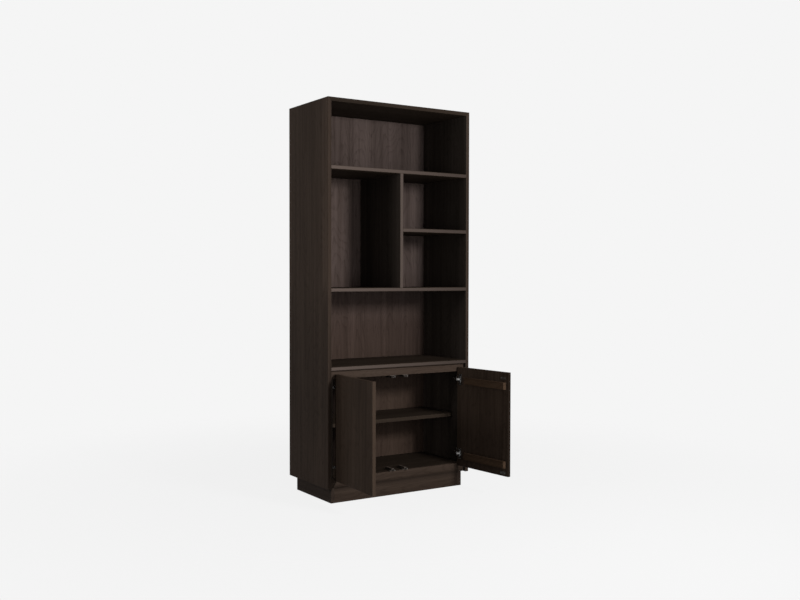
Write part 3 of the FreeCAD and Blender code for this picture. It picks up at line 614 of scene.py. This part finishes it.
# Finish of each slot of small parts: name, colour, roughness and seed
FITTINGS = {
    "pale_wood": beech(),
    "peg_steel": plated("peg_steel", (0.60, 0.60, 0.60), 0.35, 1.0),
    "screw_steel": plated("screw_steel", (0.105, 0.098, 0.090), 0.42, 2.0),
    "bracket_steel": plated("bracket_steel", (0.58, 0.58, 0.58), 0.38, 3.0),
    "hinge_steel": plated("hinge_steel", (0.21, 0.205, 0.20), 0.36, 4.0),
    "pin_steel": plated("pin_steel", (0.50, 0.50, 0.50), 0.25, 5.0),
    "spring_steel": plated("spring_steel", (0.45, 0.45, 0.46), 0.35, 6.0),
    "strike_steel": moulded("strike_steel", (0.028, 0.022, 0.018), 0.50, 7.0),
    "latch_plastic": moulded("latch_plastic", (0.050, 0.038, 0.031), 0.45, 8.0),
    "plunger_plastic": moulded("plunger_plastic", (0.072, 0.062, 0.055), 0.45, 9.0),
}


def fittings():
    for slot, material in FITTINGS.items():
        for node in slot_nodes(slot):
            dress(node, material)


# Screws, set screws and springs

def loose_parts(node):
    """Splits a CAD node into the points of its separate solids: joined points share the lowest label."""
    points = corner_points(node)
    grid = np.round(points * 10 ** DECIMALS).astype(np.int64)
    same = np.unique(grid, axis=0, return_inverse=True)[1].ravel()
    mesh = nodes[node].data
    ends = np.empty(2 * len(mesh.edges), dtype=np.int64)
    mesh.edges.foreach_get("vertices", ends)
    ends = same[ends.reshape(-1, 2)]
    label = np.arange(same.max() + 1)
    settled = False
    while not settled:
        lowest = label[ends].min(1)
        before = label.copy()
        np.minimum.at(label, ends[:, 0], lowest)
        np.minimum.at(label, ends[:, 1], lowest)
        settled = np.array_equal(label, before)
    return [points[label[same] == one] for one in np.unique(label)]


def axis_of(points):
    """A round solid's middle and axis: the direction whose spread differs from the two equal others."""
    spots = np.unique(np.round(points, DECIMALS), axis=0)
    middle = (spots.min(0) + spots.max(0)) / 2
    spread, ways = np.linalg.eigh(np.cov((spots - spots.mean(0)).T))
    way = ways[:, 2] if spread[1] - spread[0] < spread[2] - spread[1] else ways[:, 0]
    return middle, way


def screw_seat(points):
    """Where a CAD screw's head sits, the way its head faces, and the length of its shank."""
    middle, way = axis_of(points)
    along = (points - middle) @ way
    apart = np.linalg.norm(points - middle - along[:, None] * way, axis=1)
    wide = apart > (HEAD_RADIUS + SHANK_RADIUS) / 2
    if along[wide].mean() < along[~wide].mean():
        way = -way
        along = -along
    seat = along[wide].min()
    return middle + seat * way, way, seat - along.min()


def smooth_step(value, low, high):
    share = np.clip((value - low) / (high - low), 0.0, 1.0)
    return share * share * (3.0 - 2.0 * share)


def cross_recess(x, y):
    """Depth of a cross-shaped driver recess: the deeper one of two crossing slots with sloping walls."""
    def slot(a, b):
        narrow = 1.0 - smooth_step(np.abs(b), *RECESS_HALF_WIDTH)
        return narrow * (1.0 - smooth_step(np.abs(a), *RECESS_REACH))
    return RECESS_DEPTH * np.maximum(slot(x, y), slot(y, x))


def turned_form(radius, height, crown, wave):
    """A turned solid: rows of points round the axis at each radius and height of a profile that runs from
    the top down; the crown's rows sink by the cross recess, and the wave bends a row's radius."""
    angle = np.linspace(0.0, 2.0 * math.pi, STEPS_ROUND, endpoint=False)
    wound = 2.0 * math.pi * height[:, None] / THREAD_PITCH
    reach = radius[:, None] + wave[:, None] * np.sin(angle[None, :] - wound)
    x = reach * np.cos(angle)
    y = reach * np.sin(angle)
    z = np.repeat(height[:, None], STEPS_ROUND, axis=1)
    z[:crown] -= cross_recess(x[:crown], y[:crown])
    rows = np.stack([x, y, z], axis=-1).reshape(-1, 3)
    poles = np.array([[0.0, 0.0, height[0] - RECESS_DEPTH], [0.0, 0.0, height[-1] - END_STEP]])
    return np.vstack([rows, poles])


def row_faces(count, around):
    """Four-sided faces between neighbouring rows of points, and three-sided ones round the two poles, which
    come after the rows."""
    step = np.arange(around)
    after = (step + 1) % around
    faces = []
    for row in range(count - 1):
        here = row * around
        there = here + around
        faces += np.stack([here + step, there + step, there + after, here + after], axis=1).tolist()
    pole = count * around
    last = pole - around
    faces += [(pole, a, b) for a, b in zip(step.tolist(), after.tolist())]
    faces += [(last + a, pole + 1, last + b) for a, b in zip(step.tolist(), after.tolist())]
    return faces


def screw_form(length):
    """A domed head with a cross recess over a threaded shank that ends in a point."""
    crown_radius = HEAD_RADIUS * CROWN_RINGS
    crown_height = HEAD_RIM + HEAD_CROWN * (1.0 - CROWN_RINGS ** 2)
    depth = np.arange(0.0, length - TIP_LENGTH, THREAD_STEP)
    core = SHANK_RADIUS - THREAD_DEPTH / 2
    slim = 1.0 - TIP_RINGS
    radius = np.concatenate([crown_radius, [HEAD_RADIUS, core], np.full(len(depth), core), core * slim])
    height = np.concatenate([crown_height, [0.0, 0.0], -depth - END_STEP, TIP_LENGTH * slim - length])
    wave = THREAD_DEPTH / 2 * np.concatenate([np.zeros(len(crown_radius) + 2), np.ones(len(depth)), slim])
    return turned_form(radius, height, len(crown_radius), wave), row_faces(len(radius), STEPS_ROUND)


def set_screw_form():
    """A flush set screw: a flat disc with a cross recess and a rounded rim."""
    count = len(CROWN_RINGS)
    radius = SET_SCREW_RADIUS * np.append(CROWN_RINGS * SET_SCREW_FLAT, SET_SCREW_RIM_RADIUS)
    height = SET_SCREW_RISE * np.append(np.ones(count), SET_SCREW_RIM_RISE)
    return turned_form(radius, height, count, np.zeros(len(radius))), row_faces(len(radius), STEPS_ROUND)


def placed(points, spot, way, spin):
    """Carries points from the upright axis to a spot and direction, after a turn about the axis."""
    side = np.cross(way, [0.0, 0.0, 1.0] if abs(way[2]) < UPRIGHT else [1.0, 0.0, 0.0])
    side /= np.linalg.norm(side)
    other = np.cross(way, side)
    first = math.cos(spin) * side + math.sin(spin) * other
    return spot + points @ np.stack([first, np.cross(way, first), way])


def piece(name, forms, material, body, replaced=None):
    """Joins forms into one piece that rides on a body."""
    points = np.vstack([form for form, _ in forms])
    faces = []
    start = 0
    for form, form_faces in forms:
        faces += [tuple(start + corner for corner in face) for face in form_faces]
        start += len(form)
    mesh = bpy.data.meshes.new(name)
    mesh.from_pydata(points.tolist(), [], faces)
    mesh.polygons.foreach_set("use_smooth", np.ones(len(mesh.polygons), dtype=bool))
    mesh.set_sharp_from_angle(angle=CREASE)
    mesh.materials.append(material)
    made = bpy.data.objects.new(name, mesh)
    bpy.context.scene.collection.objects.link(made)
    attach(made, body)
    if replaced:
        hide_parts(replaced)
    return made


def screws(node, body):
    """Cross-recess screws in place of a CAD node's plain ones."""
    spins = np.random.default_rng(len(node)).uniform(0.0, math.pi, SPIN_COUNT)
    forms = []
    for number, points in enumerate(loose_parts(node)):
        spot, way, length = screw_seat(points)
        form, faces = screw_form(length)
        forms.append((placed(form, spot, way, spins[number]), faces))
    piece(node + "_cross", forms, FITTINGS["screw_steel"], body, node)


def set_screws():
    """Two adjusting screws in the leg of each hinge arm, on either side of its clamp screw."""
    forms = []
    for points in loose_parts("hinge_screws"):
        spot, way, length = screw_seat(points)
        if length < CLAMP_SCREW_LENGTH:
            for number, offset in enumerate(SET_SCREW_OFFSETS):
                form, faces = set_screw_form()
                beside = spot + np.array([0.0, offset, 0.0])
                forms.append((placed(form, beside, way, SET_SCREW_SPIN + number), faces))
    piece("hinge_set_screws", forms, FITTINGS["screw_steel"], "carcass")


def coil_form(spot, way, length, radius):
    """A wire wound round an axis: the ring of the wire's section, carried along a helix from one end of the
    length to the other, with both ends of the wire closed."""
    share = np.linspace(0.0, 1.0, COIL_TURNS * COIL_STEPS + 1)
    angle = 2.0 * math.pi * COIL_TURNS * share
    reach = radius - COIL_WIRE
    rise = COIL_WIRE + share * (length - 2.0 * COIL_WIRE)
    path = np.stack([reach * np.cos(angle), reach * np.sin(angle), rise], axis=1)
    ring = np.linspace(0.0, 2.0 * math.pi, WIRE_STEPS, endpoint=False)
    outward = np.stack([np.cos(angle), np.sin(angle), np.zeros_like(angle)], axis=1)
    upward = np.array([0.0, 0.0, 1.0])
    around = np.cos(ring)[None, :, None] * outward[:, None, :] + np.sin(ring)[None, :, None] * upward
    rows = path[:, None, :] + COIL_WIRE * around
    points = np.vstack([rows.reshape(-1, 3), path[0], path[-1]])
    return placed(points, spot, way, 0.0), row_faces(len(path), WIRE_STEPS)


def springs():
    """Wound springs in place of the CAD node's tubes, riding on the carcass."""
    for points in loose_parts("latch_springs"):
        low, high = points.min(0), points.max(0)
        across, upright = (low[0] + high[0]) / 2, (low[2] + high[2]) / 2
        name = ("left_" if across < 0.0 else "right_") + ("upper" if upright > SPRING_SPLIT else "lower")
        spot = np.array([across, low[1] + SPRING_PLAY, upright])
        form = coil_form(spot, np.array([0.0, 1.0, 0.0]), high[1] - spot[1], (high[0] - low[0]) / 2)
        coil = piece(name + "_spring", [form], FITTINGS["spring_steel"], "carcass",
                     "latch_springs")
        name + "_plunger_slide"
        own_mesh(coil)


# Camera, light and floor

def camera():
    """Turns about the upright by yaw, tips by pitch and leans by roll."""
    ahead = Vector((math.sin(CAMERA_YAW) * math.cos(CAMERA_PITCH),
                    math.cos(CAMERA_YAW) * math.cos(CAMERA_PITCH), math.sin(CAMERA_PITCH)))
    level = Vector((math.cos(CAMERA_YAW), -math.sin(CAMERA_YAW), 0.0))
    upright = level.cross(ahead)
    right = math.cos(CAMERA_ROLL) * level + math.sin(CAMERA_ROLL) * upright
    up = math.cos(CAMERA_ROLL) * upright - math.sin(CAMERA_ROLL) * level
    data = bpy.data.cameras.new("camera")
    data.sensor_fit = "HORIZONTAL"
    data.sensor_width = SENSOR
    data.lens = FOCAL_PIXELS / IMAGE_WIDTH * SENSOR
    view = bpy.data.objects.new("camera", data)
    turn = Matrix((right, up, -ahead)).transposed().to_4x4()
    view.matrix_world = Matrix.Translation(CAMERA_AT) @ turn
    bpy.context.scene.collection.objects.link(view)
    bpy.context.scene.camera = view


def lamp(name, at, aim, width, height, level):
    """A soft box whose power gives the level on a white surface at the point that it is aimed at."""
    data = bpy.data.lights.new(name, "AREA")
    data.shape = "RECTANGLE"
    data.size = width
    data.size_y = height
    data.energy = level * math.pi ** 2 * (at - aim).length_squared
    light = bpy.data.objects.new(name, data)
    light.visible_camera = False
    light.matrix_world = Matrix.Translation(at) @ (aim - at).to_track_quat("-Z", "Y").to_matrix().to_4x4()
    bpy.context.scene.collection.objects.link(light)


def seen_directly(finish):
    """1 for rays that show the background itself, in the picture or in a mirror."""
    rays = finish.node("ShaderNodeLightPath", out=("Is Camera Ray", "Is Glossy Ray", "Is Transmission Ray"))
    return (rays[0] + rays[1] + rays[2]).least(1.0)


def surround():
    """A plain pale studio: bright where it is seen, dimmer as a source of light."""
    world = bpy.data.worlds.new("studio")
    bpy.context.scene.world = world
    world.use_nodes = True
    finish = Finish(world.node_tree)
    level = seen_directly(finish) * (BACKDROP - SURROUND) + SURROUND
    glow = finish.node("ShaderNodeBackground", None, {"Color": WHITE, "Strength": level})
    finish.node("ShaderNodeOutputWorld", None, {"Surface": glow})


def floor():
    """A pale floor that keeps a soft shadow and fades into the backdrop."""
    half = FLOOR_SIZE / 2
    mesh = bpy.data.meshes.new("floor")
    corners = [(-half, -half, 0), (half, -half, 0), (half, half, 0), (-half, half, 0)]
    mesh.from_pydata(corners, [], [(0, 1, 2, 3)])
    ground = bpy.data.objects.new("floor", mesh)
    bpy.context.scene.collection.objects.link(ground)
    material, finish = new_finish("floor")
    reach = finish.node("ShaderNodeVectorMath", {"operation": "LENGTH"}, {0: finish.place()}, out="Value")
    fade = finish.band(reach, *FLOOR_FADE)
    matt = finish.node("ShaderNodeBsdfDiffuse", None, {"Color": FLOOR_WHITE})
    dull = finish.node("ShaderNodeBsdfDiffuse", None, {"Color": FLOOR_BOUNCE})
    glow = finish.node("ShaderNodeEmission", None, {"Color": WHITE, "Strength": BACKDROP})
    clear = finish.node("ShaderNodeBsdfTransparent")
    pale = finish.node("ShaderNodeMixShader", None, {0: FLOOR_SHADE, 1: glow, 2: matt})
    shown = finish.node("ShaderNodeMixShader", None, {0: seen_directly(finish), 1: dull, 2: pale})
    faded = finish.node("ShaderNodeMixShader", None, {0: fade, 1: shown, 2: clear})
    finish.node("ShaderNodeOutputMaterial", None, {"Surface": faded})
    mesh.materials.append(material)


bpy.context.scene.view_settings.view_transform = "Standard"
boards()
fittings()
set_screws()
screws("back_screws", "carcass")
screws("hinge_screws", "carcass")
screws("latch_screws", "carcass")
screws("left_door_screws", "left_door")
screws("right_door_screws", "right_door")
springs()
camera()
lamp("key", *KEY_LAMP)
lamp("fill", *FILL_LAMP)
lamp("side", *SIDE_LAMP)
surround()
floor()
